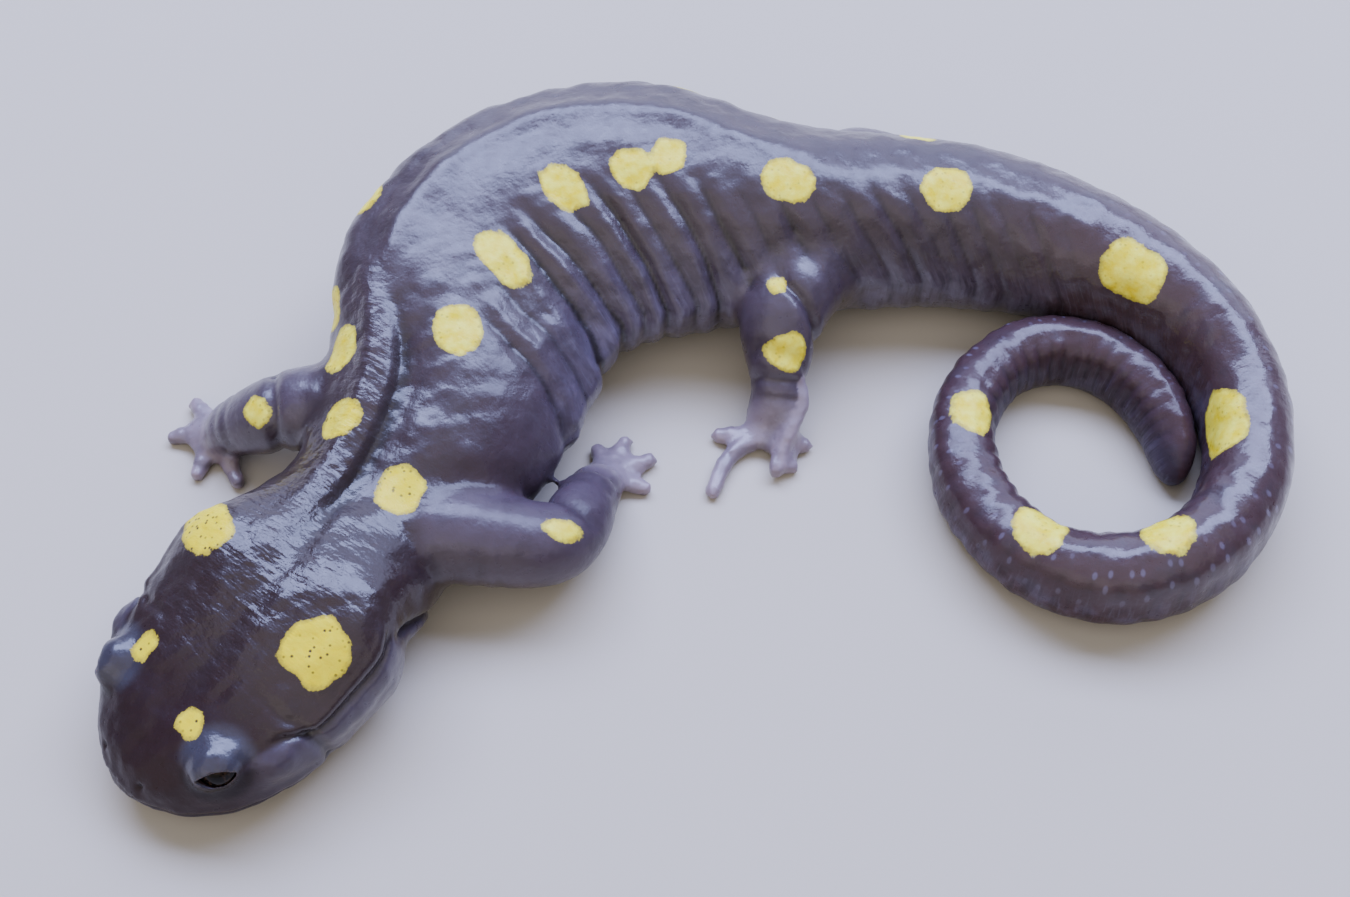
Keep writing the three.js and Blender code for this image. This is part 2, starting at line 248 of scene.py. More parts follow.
legs = {
    "rightArm": {
        "palm": 2.4,
        "joints": [  # x, y, z, half width, half thickness
            (-28.0, 0.2, 7.4, 3.6, 3.6), (-34.6, 0.0, 6.2, 3.6, 3.4),
            (-40.9, 0.5, 2.9, 2.8, 2.3), (-43.6, 1.1, 1.0, 2.0, 1.3),
        ],
        "toes": [(118, 4.3, 10), (184, 4.1, 6), (262, 4.9, -6), (302, 6.4, -4)],  # heading, reach, curl
    },
    "leftArm": {
        "palm": 1.9,
        "joints": [
            (-23.5, -11.6, 6.2, 4.2, 4.2), (-13.3, -12.3, 5.2, 3.4, 3.4),
            (-10.3, -6.0, 2.8, 2.4, 2.2), (-9.5, -3.5, 1.0, 2.0, 1.3),
        ],
        "toes": [(-12, 4.2, -8), (28, 5.0, -4), (64, 4.8, 4), (100, 3.8, 8)],
    },
    "leftLeg": {
        "palm": 1.8,
        "joints": [
            (10.5, 17.0, 7.2, 4.4, 4.6), (5.9, 9.8, 7.0, 3.9, 3.7),
            (5.3, 3.4, 2.8, 2.4, 2.1), (4.6, 0.9, 1.0, 2.4, 1.3),
        ],
        "toes": [(178, 5.1, 4), (213, 8.2, 36), (304, 4.4, -6), (345, 4.0, -6)],
        "ridge": [  # third toe, raised from the side of the ankle: x, y, z, radius
            (7.0, 4.2, 4.6, 0.8), (7.5, 2.4, 3.4, 0.75), (6.5, 0.5, 2.5, 0.72), (5.5, -1.5, 1.5, 0.72),
            (4.9, -3.6, 0.75, 0.75),
        ],
    },
    "rightLeg": {
        "palm": 2.0,
        "joints": [
            (9.5, 23.0, 6.8, 4.2, 4.6), (13.5, 28.8, 4.8, 3.2, 3.2),
            (19.0, 30.6, 2.7, 2.3, 2.0), (21.8, 30.8, 1.0, 2.3, 1.3),
        ],
        "toes": [(78, 3.6, 6), (44, 4.4, 4), (14, 5.2, 0), (-14, 5.0, -4), (-50, 3.6, -6)],
    },
}
limbFinish = {
    "rootDepth": 3.0, "rootRound": 4.5, "endRound": 1.6, "palmHeight": 0.92, "sides": 28, "rings": 44,
}
toe = {
    "root": 1.0, "heights": (0.9, 0.72, 0.5), "radii": (1.0, 0.85, 0.74), "sides": 14, "rings": 12,
    "ridgeRings": 30,
}


def smoothPath(points, samples=60):  # a centripetal curve through the points, evenly sampled
    points = np.array(points, float)
    before = 2 * points[0] - points[1]
    after = 2 * points[-1] - points[-2]
    knots = np.vstack([before, points, after])
    steps = np.linalg.norm(np.diff(knots, axis=0), axis=1) ** 0.5
    out = [points[0]]
    for i in range(1, len(knots) - 2):
        p0, p1, p2, p3 = knots[i - 1:i + 3]
        d0, d1, d2 = steps[i - 1:i + 2]
        m1 = ((p1 - p0) / d0 - (p2 - p0) / (d0 + d1) + (p2 - p1) / d1) * d1
        m2 = ((p2 - p1) / d1 - (p3 - p1) / (d1 + d2) + (p3 - p2) / d2) * d1
        for t in np.linspace(0, 1, samples + 1)[1:]:
            point = (2 * t ** 3 - 3 * t ** 2 + 1) * p1 + (t ** 3 - 2 * t ** 2 + t) * m1
            out.append(point + (3 * t ** 2 - 2 * t ** 3) * p2 + (t ** 3 - t ** 2) * m2)
    return np.array(out)


def limbShape(joints, widths, heights, samples=60):  # evenly spaced centres, tangents and radii
    path = smoothPath(joints, samples)
    lengths = np.concatenate([[0], np.cumsum(np.linalg.norm(np.diff(path, axis=0), axis=1))])
    total = lengths[-1]
    jointShares = lengths[::samples] / total
    width = throughStations(jointShares, widths)
    height = throughStations(jointShares, heights)

    def at(share):
        centre, ahead, behind = (
            np.array([np.interp(s * total, lengths, path[:, k]) for k in range(3)])
            for s in (share, min(1, share + 0.01), max(0, share - 0.01))
        )
        forward = Vector(ahead - behind).normalized()
        return Vector(centre), forward, float(width(share)), float(height(share))
    return {"at": at, "length": total, "width": width, "height": height, "path": path, "lengths": lengths}


# shaping: cones of one radius with cross cuts, bent to each form

def ringedTube(sides, rings):
    bm = bmesh.new()
    bmesh.ops.create_cone(bm, cap_ends=True, segments=sides, radius1=1, radius2=1, depth=1)
    long = [edge for edge in bm.edges if abs(edge.verts[0].co.z - edge.verts[1].co.z) > 0.5]
    bmesh.ops.subdivide_edges(bm, edges=long, cuts=rings - 1, use_grid_fill=True)
    return bm


def addLimb(bm, shape, sides, rings, roundedFrom=None, roundedRoot=None):
    tube = ringedTube(sides, rings)
    for vert in tube.verts:
        share, end = vert.co.z + 0.5, 1.0
        if roundedFrom is not None:
            share = math.sin(share * math.pi / 2)
            end = float(roundOff(shape["length"] * (1 - share) + 0.02, roundedFrom))
        centre, forward, width, height = shape["at"](share)
        if roundedRoot is not None:
            end *= float(roundOff(shape["length"] * share + 0.05, roundedRoot))
        sideways = Vector((0, 0, 1)).cross(forward).normalized()
        upward = forward.cross(sideways)
        vert.co = centre + sideways * vert.co.x * width * end + upward * vert.co.y * height * end
    joinInto(bm, tube)


def joinInto(bm, other):
    mesh = bpy.data.meshes.new("joined")
    bmesh.ops.recalc_face_normals(other, faces=other.faces[:])
    other.to_mesh(mesh)
    other.free()
    bm.from_mesh(mesh)
    bpy.data.meshes.remove(mesh)


def addEgg(bm, centre, heading, sizes, segments=32):
    egg = bmesh.new()
    bmesh.ops.create_uvsphere(egg, u_segments=segments, v_segments=segments // 2, radius=1)
    place = Matrix.Translation(centre) @ Matrix.Rotation(heading, 4, "Z") @ Matrix.Diagonal((*sizes, 1))
    bmesh.ops.transform(egg, matrix=place, verts=egg.verts[:])
    joinInto(bm, egg)


head = {
    "eye": {"at": 6.0, "side": 5.95, "height": 7.0, "radius": 1.75},
    "lid": {"at": 6.1, "side": 5.9, "height": 7.2, "long": 2.6, "across": 1.75, "tall": 1.75},
    "lidCover": 0.15,  # least thickness of the lids over the ball
    "socketGap": 0.06,  # room round the ball
    "slit": {  # opening between the lids: where it looks, half sizes, how far out and deep it is cut
        "forward": 38, "rise": 24, "long": 1.65, "tall": 0.75, "out": 0.1, "deep": 1.1,
    },
    "parotoid": {"at": 20.0, "side": 7.0, "height": 9.5, "reach": 4.6, "rise": 0.9},
    "cheek": {"at": 9.3, "angle": 157, "long": 2.7, "deep": 1.7, "tall": 1.8, "out": 0.35, "turn": 0.12},
    "jawRoll": (  # place, angle, radius, how far it stands out
        (10.9, 170, 1.3, -0.9), (12.3, 171, 1.7, 0.15), (14.0, 173, 1.9, 0.3), (15.4, 172, 1.85, 0.3),
        (16.8, 168, 1.7, 0.25), (17.9, 163, 1.45, 0.1), (18.7, 160, 1.2, -0.2), (19.3, 158, 0.9, -0.9),
    ),
    "rollSides": 24, "rollRings": 40,
    "jawEdge": ((0, 80), (4, 66), (8, 51), (9.8, 53), (10.8, 60), (11.5, 66), (12.8, 68), (14.2, 68),
                (16.2, 67), (17.8, 65), (19, 60), (20.2, 56), (22, 58), (26, 75)),  # degrees from the back
}


def headPoint(item, hand):  # a point in the head from its place, side and height
    x, y, heading = (float(v) for v in centreAt(curled, np.float64(item["at"])))
    side = item["side"] * hand
    return Vector((x - math.sin(heading) * side, y + math.cos(heading) * side, item["height"])), heading


def skinAt(place, angle):  # a point on the smooth skin and its outward direction
    turn = math.radians(angle)
    point = bodyPoint(curled, place, turn)
    along = bodyPoint(curled, place + 0.1, turn) - point
    around = bodyPoint(curled, place, turn + 0.01) - point
    outward = np.cross(around, along)
    return Vector(point), Vector(outward).normalized()


def eyeDistance(points, item, hand):  # offset of every point from the middle of an eye or its lids
    offset = points - np.array(headPoint(head[item], hand)[0])
    return offset, np.linalg.norm(offset, axis=1)


def shapeJaws(bm):
    radii = [radius for place, angle, radius, out in head["jawRoll"]]
    cheek = head["cheek"]
    for hand in (1, -1):
        stations = []
        for place, angle, radius, out in head["jawRoll"]:
            point, outward = skinAt(place, angle if hand < 0 else 180 - angle)
            stations.append(point + outward * (out - radius))
        roll = limbShape(stations, radii, radii, samples=20)
        addLimb(bm, roll, head["rollSides"], head["rollRings"])
        point, outward = skinAt(cheek["at"], cheek["angle"] if hand < 0 else 180 - cheek["angle"])
        heading = float(centreAt(curled, np.float64(cheek["at"]))[2]) - hand * cheek["turn"]
        addEgg(bm, point + outward * (cheek["out"] - cheek["deep"]), heading,
               (cheek["long"], cheek["deep"], cheek["tall"]))


def shapeBody(bm):
    tube = ringedTube(form["sides"], form["rings"])
    share = np.array([vert.co.z + 0.5 for vert in tube.verts])
    place = bodyLength * (share - np.sin(2 * np.pi * share) / (2 * np.pi) * form["crowding"])
    angle = np.array([math.atan2(vert.co.y, vert.co.x) for vert in tube.verts])
    for vert, point in zip(tube.verts, bodyPoint(uncurled, place, angle)):
        vert.co = point
    joinInto(bm, tube)


def shapeLegs(bm):
    dx, dy = form["footprintMiddle"]
    for name, leg in legs.items():
        joints = [(x - dx, y - dy, z) for x, y, z, width, height in leg["joints"]]
        first, second = np.array(joints[0]), np.array(joints[1])
        inner = first - (second - first) / np.linalg.norm(second - first) * limbFinish["rootDepth"]
        sizes = [leg["joints"][0]] + leg["joints"]
        leg["shape"] = limbShape([tuple(inner)] + joints, [j[3] for j in sizes], [j[4] for j in sizes])
        addLimb(bm, leg["shape"], limbFinish["sides"], limbFinish["rings"],
                roundedFrom=limbFinish["endRound"], roundedRoot=limbFinish["rootRound"])
        palm = joints[-1]
        leg["digits"] = []
        thick = limbFinish["palmHeight"]
        addEgg(bm, (palm[0], palm[1], thick), 0, (leg["palm"], leg["palm"], thick))
        if "ridge" in leg:
            points = [(x - dx, y - dy, z) for x, y, z, radius in leg["ridge"]]
            radii = [radius for x, y, z, radius in leg["ridge"]]
            leg["digits"] = [limbShape(points, radii, radii)]
            addLimb(bm, leg["digits"][0], toe["sides"], toe["ridgeRings"], roundedFrom=radii[-1])
        for heading, reach, curl in leg["toes"]:
            points = []
            for distance, height in zip((toe["root"], reach / 2, reach), toe["heights"]):
                turned = math.radians(heading + curl * (distance / reach - 0.5))
                x, y = palm[0] + math.cos(turned) * distance, palm[1] + math.sin(turned) * distance
                points.append((x, y, height))
            digit = limbShape(points, toe["radii"], toe["radii"])
            addLimb(bm, digit, toe["sides"], toe["rings"], roundedFrom=toe["radii"][2])
            leg["digits"].append(digit)


def makeRawSkin():
    bm = bmesh.new()
    shapeBody(bm)
    shapeLegs(bm)
    shapeJaws(bm)
    for hand in (1, -1):
        centre, heading = headPoint(head["lid"], hand)
        addEgg(bm, centre, heading, (head["lid"]["long"], head["lid"]["across"], head["lid"]["tall"]))
    return makeObject("skin", bm)


def applyModifiers(obj):
    shaped = bpy.data.meshes.new_from_object(obj.evaluated_get(bpy.context.evaluated_depsgraph_get()))
    old = obj.data
    obj.modifiers.clear()
    obj.data = shaped
    bpy.data.meshes.remove(old)


def setPoints(mesh, points):
    mesh.vertices.foreach_set("co", points.ravel())
    mesh.update()


def legCoordinates(points):  # gap from every point to the nearest leg, nearness and share along it
    around, every = 7, 4  # looks this far round a limb, at every fourth point of its path
    share = np.zeros(len(points))
    gap = np.full(len(points), 99.0)
    for leg in legs.values():
        for order, limb in enumerate([leg["shape"]] + leg["digits"]):
            path = limb["path"][::every]
            inBox = (points > path.min(0) - around) & (points < path.max(0) + around)
            index = np.flatnonzero(inBox[:, :2].all(1))
            part = points[index]
            away = ((part[:, None, :] - path[None, :, :]) ** 2).sum(2)
            nearest = np.argmin(away, axis=1)
            tangent = np.gradient(path, axis=0)
            tangent /= np.linalg.norm(tangent, axis=1)[:, None]
            beyond = ((part - path[nearest]) * tangent[nearest]).sum(1)
            along = np.clip((limb["lengths"][::every][nearest] + beyond) / limb["length"], 0, 1)
            radius = (limb["width"](along) + limb["height"](along)) / 2
            outside = np.sqrt(away[np.arange(len(index)), nearest]) - radius
            closer = outside < gap[index]
            chosen = index[closer]
            gap[chosen] = outside[closer]
            share[chosen] = along[closer] if order == 0 else 1.0 + along[closer]
    near = smoothStep(1.2, 0.2, gap)
    return {"gap": gap, "near": near, "share": share}


surface = {
    "voxel": 0.52,  # side of the cubes that the skin is first made of
    "softReach": 1.6, "softTurns": 14,  # how far and how much the joins of the limbs are softened
    "softness": (0.06, 1.4, 0.5),  # everywhere, at the joins, round the lids
    "fineZones": [  # place from and to, angle from and to
        (-9, 24.5, -32, 212), (-9, 46, 50, 112), (42, 106, 113, 190), (158, 209, 70, 180),
    ],
    "knee": (6.6, 7.0, 6.5), "kneeReach": 5.5,
    "sliver": 0.01,  # points closer than this are merged
}


def remeshSkin(skin):
    remesh = skin.modifiers.new("oneSurface", "REMESH")
    remesh.mode = "VOXEL"
    remesh.voxel_size = surface["voxel"]
    remesh.use_smooth_shade = True
    applyModifiers(skin)
    points = rowsOf(skin.data.vertices, "co")
    body = bodyCoordinates(uncurled, points)
    limb = legCoordinates(points)
    joint = bump(body["depth"], 0, surface["softReach"]) * bump(limb["gap"], 0, surface["softReach"])
    lids = sum(bump(eyeDistance(points, "lid", hand)[1], 2.6, 1) for hand in (1, -1))
    group = skin.vertex_groups.new(name="softJoin")
    everywhere, atJoins, atLids = surface["softness"]
    weight = np.clip(everywhere + joint * atJoins + lids * atLids, 0, 1)
    for level in range(1, 11):
        chosen = np.flatnonzero(np.round(weight * 10) == level)
        if len(chosen):
            group.add(chosen.tolist(), level / 10, "REPLACE")
    smooth = skin.modifiers.new("softJoin", "SMOOTH")
    smooth.vertex_group = "softJoin"
    smooth.factor = 0.5
    smooth.iterations = surface["softTurns"]
    applyModifiers(skin)
    skin.vertex_groups.clear()


def refineDetail(skin):  # one cut of every face on the head, nape, left flank, tail's end, knee and toes
    bm = bmesh.new()
    bm.from_mesh(skin.data)
    points = rowsOf(skin.data.vertices, "co")
    body = bodyCoordinates(uncurled, points)
    limb = legCoordinates(points)
    place, angle = body["place"], body["angle"]
    fine = np.zeros(len(points), bool)
    for start, end, low, high in surface["fineZones"]:
        fine |= (place > start) & (place < end) & (angle > low) & (angle < high)
    fine &= limb["gap"] > 1.0
    fine |= (limb["share"] > 1.05) & (limb["gap"] < 0.6)
    fine |= np.linalg.norm(points - np.array(surface["knee"]), axis=1) < surface["kneeReach"]
    chosen = set(np.flatnonzero(fine).tolist())
    bm.verts.ensure_lookup_table()
    edges = [e for e in bm.edges if e.verts[0].index in chosen and e.verts[1].index in chosen]
    result = bmesh.ops.subdivide_edges(bm, edges=edges, cuts=1, use_grid_fill=True)
    touched = [g for g in result["geom"] if isinstance(g, bmesh.types.BMVert)]
    for _ in range(3):
        bmesh.ops.smooth_vert(
            bm, verts=touched, factor=0.5, use_axis_x=True, use_axis_y=True, use_axis_z=True)
    bmesh.ops.triangulate(bm, faces=[f for f in bm.faces if len(f.verts) > 4])
    bm.to_mesh(skin.data)
    bm.free()


# relief: folds, grooves and bulges laid over the smooth skin, in millimetres

relief = {
    "bends": [  # creases across the limbs: width, depth, points seen from above
        (0.5, 0.6, ((5.3, 10.7), (5.8, 9.7), (6.85, 8.8), (8.0, 7.7), (8.8, 6.9))),
        (0.5, 0.3, ((3.2, 5.6), (5.2, 4.7), (7.4, 4.7))),
        (0.45, 0.25, ((3.2, 4.1), (5.0, 3.2), (7.0, 3.4))),
        (0.5, 0.45, ((-37.3, 2.6), (-37.0, 1.0), (-36.7, -1.8), (-36.4, -4.2))),
        (0.5, 0.4, ((-15.4, -8.2), (-12.6, -9.6), (-10.2, -11.4))),
    ],
    "grooveAngle": ((0, 90), (25, 89), (34, 88), (42, 86), (48, 85), (58, 84), (66, 87), (74, 90), (90, 86),
                    (98, 89), (106, 95), (113, 104), (121, 110), (130, 100), (150, 92), (200, 90)),
    "grooveDepth": ((0, 0), (17, 0.1), (23, 0.4), (28, 0.85), (38, 0.85), (44, 0.4), (49, 0.1), (54, 0),
                    (78, 0), (84, 0.16), (100, 0.15), (118, 0.05), (140, 0), (200, 0)),
    "grooveWidth": ((0, 1.2), (22, 0.8), (28, 0.55), (40, 0.6), (46, 1), (60, 1), (80, 0.9), (200, 0.8)),
    "leftWidth": 2.6,  # the groove's left wall slopes gently
    "rightLip": ((0, 0), (22, 0.1), (28, 0.5), (40, 0.5), (46, 0.1), (50, 0), (200, 0)),
    "ridge": ((0, 0), (42, 0), (48, 0.4), (66, 0.4), (76, 0.25), (90, 0), (200, 0)),
    "folds": (  # places of the folds across the flank, high up and low down
        (41.5, 37), (45.8, 40.8), (49.2, 44.2), (53.2, 47.5), (55, 60.6), (58.2, 64.3), (61.2, 67),
        (64, 70), (66.8, 72.2), (70.5, 76), (74, 79), (77.2, 82), (80.3, 85), (83.2, 88),
        (86, 91), (89, 93.8), (91.6, 97), (94.8, 100), (97.4, 103), (100.7, 106), (104, 109),
    ),
    "foldDepth": 0.7,
    "ringSpacing": ((104, 2.7), (130, 2.2), (160, 1.8), (185, 1.4), (200, 1.2)),  # rings round the tail
    "ringDepth": 0.22,
    "headDips": ((7, 4, 3.0, 0.35), (17, 6, 1.6, 0.25)),  # place, half length, half width, depth
    "jawStep": 0.38, "neckDip": 1.1,
    "throatFolds": ((20.0, 0.9, 0.9), (26.2, 0.3, 0.22), (30.0, 0.1, 0.18)),  # place, lean, depth
    "mouth": {"height": 3.0, "climb": 0.05, "wide": 0.26, "deep": 0.3, "lip": 0.12},
    "nostril": {"at": 1.0, "fromBack": 36, "wide": 0.26, "deep": 0.3},
    "limbFolds": (  # share of the limb's length, width, depth
        (0.34, 0.016, 0.16), (0.40, 0.014, 0.10), (0.79, 0.012, 0.12), (0.86, 0.012, 0.14),
    ),
    "lumps": ((7, 11, 0.12), (2.4, 12, 0.07)),  # size, seed and height of the soft unevenness
}


def waves(points, size, seed, octaves=2):  # smooth lumps about one size across, from -1 to 1
    random = np.random.default_rng(seed)
    total = np.zeros(len(points))
    for octave in range(octaves):
        for _ in range(7):
            direction = random.normal(size=3)
            direction /= np.linalg.norm(direction)
            phase = random.uniform(0, 2 * np.pi)
            total += np.sin(points @ direction * 2 * np.pi / (size / 2 ** octave) + phase) / 2 ** octave
    return total / 5


def foldPhase(place, fromBack):  # counts the folds and tail rings from the shoulders backwards
    high, low = np.array(relief["folds"]).T
    steps = np.arange(high[-1], bodyLength + 1, 0.25)
    counts = np.cumsum(0.25 / throughStations(*zip(*relief["ringSpacing"]))(steps))
    count = np.arange(len(high))
    straighten = smoothStep(high[-1] + 30, high[-1], steps)  # the rings run straight round the tail
    phases = [
        np.interp(place, np.concatenate([line, steps + 0.25 + (line[-1] - high[-1]) * straighten]),
                  np.concatenate([count, count[-1] + counts]))
        for line in (high, low)
    ]
    share = np.clip((fromBack - 25) / 62, 0, 1)
    return phases[0] * (1 - share) + phases[1] * share


def nearLine(points, line):  # distance seen from above to a line through the given places
    away = np.full(len(points), 99.0)
    for start, end in zip(np.array(line[:-1]), np.array(line[1:])):
        share = np.clip((points - start) @ (end - start) / ((end - start) @ (end - start)), 0, 1)
        away = np.minimum(away, np.linalg.norm(points - start - share[:, None] * (end - start), axis=1))
    return away


def evenOut(mesh, values, factors):  # moves each value towards the mean of its neighbours, or away from it
    pairs = np.empty(len(mesh.edges) * 2, dtype=np.int32)
    mesh.edges.foreach_get("vertices", pairs)
    first, second = pairs.reshape(-1, 2).T
    count = np.bincount(pairs, minlength=len(values))
    for factor in factors:
        total = np.bincount(first, values[second], len(values))
        total = total + np.bincount(second, values[first], len(values))
        values = values + factor * (total / count - values)
    return values


def backRelief(at):  # groove down the middle of the back with a lip on its right, then a ridge
    place = at["place"]
    middle, width, deep, lip, ridge = (
        throughStations(*zip(*relief[key]))(place)
        for key in ("grooveAngle", "grooveWidth", "grooveDepth", "rightLip", "ridge")
    )
    across = np.radians(at["angle"] - middle) * np.maximum(2.5, at["half"] * 0.9)
    leftWidth = relief["leftWidth"] * smoothStep(24, 28, place) * smoothStep(50, 42, place)
    width = np.where(across > 0, np.maximum(width, leftWidth), width)
    groove = deep * bump(across, 0, width)
    rise = lip * bump(across, -2.3, 1.2) - groove
    rise += ridge * (bump(across, -0.2, 0.9) - 0.6 * bump(across, -3.2, 1.6) + 0.9 * bump(across, -9, 4))
    onTail = smoothStep(100, 112, place) * smoothStep(199, 190, place)
    rise += 0.32 * bump(at["fromBack"], 46, 20) * onTail  # the tail's back is rounder than its sides
    # the second value is painted shade, darkening the bottom of the groove on the neck
    return rise, groove * smoothStep(46, 40, place) * smoothStep(1.0, 0.2, across)


def foldRelief(at, mesh, phase):  # folds across the flanks and rings round the tail
    place, fromBack = at["place"], at["fromBack"]
    lastFold = len(relief["folds"]) - 1
    upTo = 22 - 16 * smoothStep(76, 86, place)  # the folds reach higher on the tail's base
    flank = smoothStep(upTo, upTo + 26, fromBack) * smoothStep(160, 112, fromBack)
    trunk = smoothStep(0.2, 1.4, phase) * smoothStep(lastFold + 1, lastFold - 2, phase)
    unevenness = 0.75 + 0.25 * np.sin(np.floor(phase + 0.5) * 2.4)
    deep = (0.9 - 0.4 * smoothStep(9, 14, phase) + 0.3 * bump(phase, 6, 3)) * unevenness
    leftShare = 0.45 + 0.55 * smoothStep(80, 100, at["angle"])  # the right side is calmer
    foldMask = trunk * flank * deep * leftShare * at["onBody"]
    tail = smoothStep(lastFold - 2, lastFold + 1, phase) * smoothStep(199, 194, place)
    ringMask = tail * (0.1 + 0.9 * smoothStep(10, 60, fromBack))
    ringMask *= 0.45 + 0.55 * smoothStep(125, 165, place)
    valley = np.abs(np.sin(np.pi * phase)) ** 0.9 - 0.68
    depths = foldMask * relief["foldDepth"] + ringMask * relief["ringDepth"]
    # painted shade: the colour darkens in the bottoms of the flank folds and, less, between the tail rings
    foldShade = 1.5 * smoothStep(-0.30, -0.62, valley) * (foldMask + ringMask * 0.45)
    return evenOut(mesh, valley * depths, (0.5, 0.5)), evenOut(mesh, foldShade, (0.5,))


def headRelief(at):
    place, side, height, fromBack = (at[key] for key in ("place", "side", "height", "fromBack"))

    # glands behind the eyes, dips in the crown and nape
    gland = head["parotoid"]
    rise = gland["rise"] * bump(place, gland["at"], gland["reach"])
    rise *= bump(np.abs(side), gland["side"], gland["reach"])
    rise *= bump(height, gland["height"], gland["reach"])
    for middle, long, wide, depth in relief["headDips"]:
        rise -= depth * bump(place, middle, long) * bump(side, 0, wide) * smoothStep(60, 30, fromBack)

    # groove from the crown to the corner of the jaw
    corner = place - 10.5 - 0.018 * np.maximum(0, fromBack - 25) + waves(at["points"], 3, 21, 1) * 0.15
    seam = bump(corner, 0, 0.4) * smoothStep(16, 34, fromBack) * smoothStep(118, 96, fromBack)
    seam *= 0.16 + 0.30 * smoothStep(50, 70, fromBack)
    rise -= seam

    # step where the dark skin of the head overhangs the jaw
    edge = fromBack - throughStations(*zip(*head["jawEdge"]))(place)
    alongJaw = smoothStep(8, 11, place) * smoothStep(20.0, 18.8, place)
    rise += (0.2 * bump(edge, -6, 4) - relief["jawStep"] * bump(edge, 0.5, 2.6)) * alongJaw

    # mouth line from the snout to behind the eye, and the upper lip
    mouth = relief["mouth"]
    lipLine = mouth["height"] + mouth["climb"] * np.clip(place, 0, 14)
    onMuzzle = smoothStep(13.4, 11.8, place) * (at["share"] > 0.8)
    gape = bump(height, lipLine, mouth["wide"]) * onMuzzle
    rise += mouth["lip"] * bump(height, lipLine + 0.65, 0.45) * onMuzzle - mouth["deep"] * gape
    # painted shade darkens the groove to the jaw's corner, the step over the jaw and the mouth line
    creaseShade = seam + 0.45 * bump(edge, 1, 2.4) * alongJaw + 0.9 * gape

    # folds of the throat and neck, which is narrower than the jaws
    rise -= relief["neckDip"] * bump(place, 21.2, 2.2) * smoothStep(40, 80, fromBack) * at["onBody"]
    for middle, lean, depth in relief["throatFolds"]:
        fold = depth * bump(place + lean * (height - 8.3), middle, 0.55) * smoothStep(58, 84, fromBack)
        rise -= fold * at["onBody"]
        # the throat folds get painted shade too
        creaseShade += 0.6 * fold

    nostril = relief["nostril"]
    for hand in (1, -1):
        middle = bodyPoint(uncurled, nostril["at"], math.radians(90 - hand * nostril["fromBack"]))
        away = np.linalg.norm(at["points"] - middle, axis=1)
        rise -= nostril["deep"] * bump(away, 0, nostril["wide"])
        # painted shade in the nostrils
        creaseShade += bump(away, 0, 0.2)
    return rise, creaseShade


def limbRelief(at):  # joints of the toes, folds where the limbs spring from the body and across them
    share, onLimb = at["limbShare"], at["onLimb"]
    knuckles = bump(share - 1, 0.55, 0.09) + 0.9 * bump(share - 1, 0.88, 0.09)
    rise = (0.12 * knuckles - 0.06) * onLimb * (share > 1.05)
    folds = [depth * bump(share, middle, width) * onLimb * (share < 1)
             for middle, width, depth in relief["limbFolds"]]
    above = smoothStep(2.0, 3.5, at["height"])
    folds += [depth * bump(nearLine(at["points"][:, :2], line), 0, width) * above
              for width, depth, line in relief["bends"]]
    # the limb folds and bends are also darkened in colour: painted shade
    return rise - sum(folds), 0.5 * sum(folds)


def layRelief(skin):
    mesh = skin.data
    softened = [evenOut(mesh, column, (0.5, -0.52) * 5) for column in rowsOf(mesh.vertices, "co").T]
    setPoints(mesh, np.stack(softened, -1))
    points, normals = rowsOf(mesh.vertices, "co"), rowsOf(mesh.vertex_normals, "vector")
    limb = legCoordinates(points)
    at = dict(bodyCoordinates(uncurled, points), points=points, limbShare=limb["share"])
    at["fromBack"] = np.abs(at["angle"] - 90)
    at["onBody"] = 1 - limb["near"] * smoothStep(0.3, 1.2, at["depth"])
    at["onLimb"] = limb["near"] * smoothStep(0.2, 1.2, at["depth"])
    wobble = waves(points, 11, 3, 1) * 0.10 + waves(points, 4, 4, 1) * 0.04
    phase = foldPhase(at["place"], at["fromBack"]) + wobble
    layers = (backRelief(at), foldRelief(at, mesh, phase), headRelief(at), limbRelief(at))
    rise = sum(layer[0] for layer in layers)
    # the painted shade of every layer is summed here
    creaseShade = sum(layer[1] for layer in layers)
    for size, seed, high in relief["lumps"]:  # less of it on the limbs
        rise += waves(points, size, seed) * high * (1 - 0.7 * at["onLimb"])

    underneath = smoothStep(0.6, 1.4, at["height"])  # the relief is shallow near the floor
    points = points + normals * (rise * (0.25 + 0.75 * underneath))[:, None]
    least = head["eye"]["radius"] + head["lidCover"]
    for hand in (1, -1):  # the lids close over the ball with at least their own thickness
        offset, away = eyeDistance(points, "eye", hand)
        # painted shade: the skin round and below the eye's opening is darkened where the lid shades it
        creaseShade += 0.8 * smoothStep(3.3, 2.4, away) * smoothStep(7.5, 6.9, at["height"])
        points += offset / away[:, None] * np.maximum(0, least - away)[:, None]
    return points, np.clip(creaseShade, 0, 1), phase


def curlTail(points):
    body = bodyCoordinates(uncurled, points)
    x, y, heading = centreAt(curled, body["place"])
    moved = points.copy()
    moved[:, 0] = x - np.sin(heading) * body["side"]
    moved[:, 1] = y + np.cos(heading) * body["side"]
    tail = body["place"] > form["uncurledFrom"] - 1
    far = np.abs(body["side"]) < 9
    return np.where((tail & far)[:, None], moved, points), body


# spots

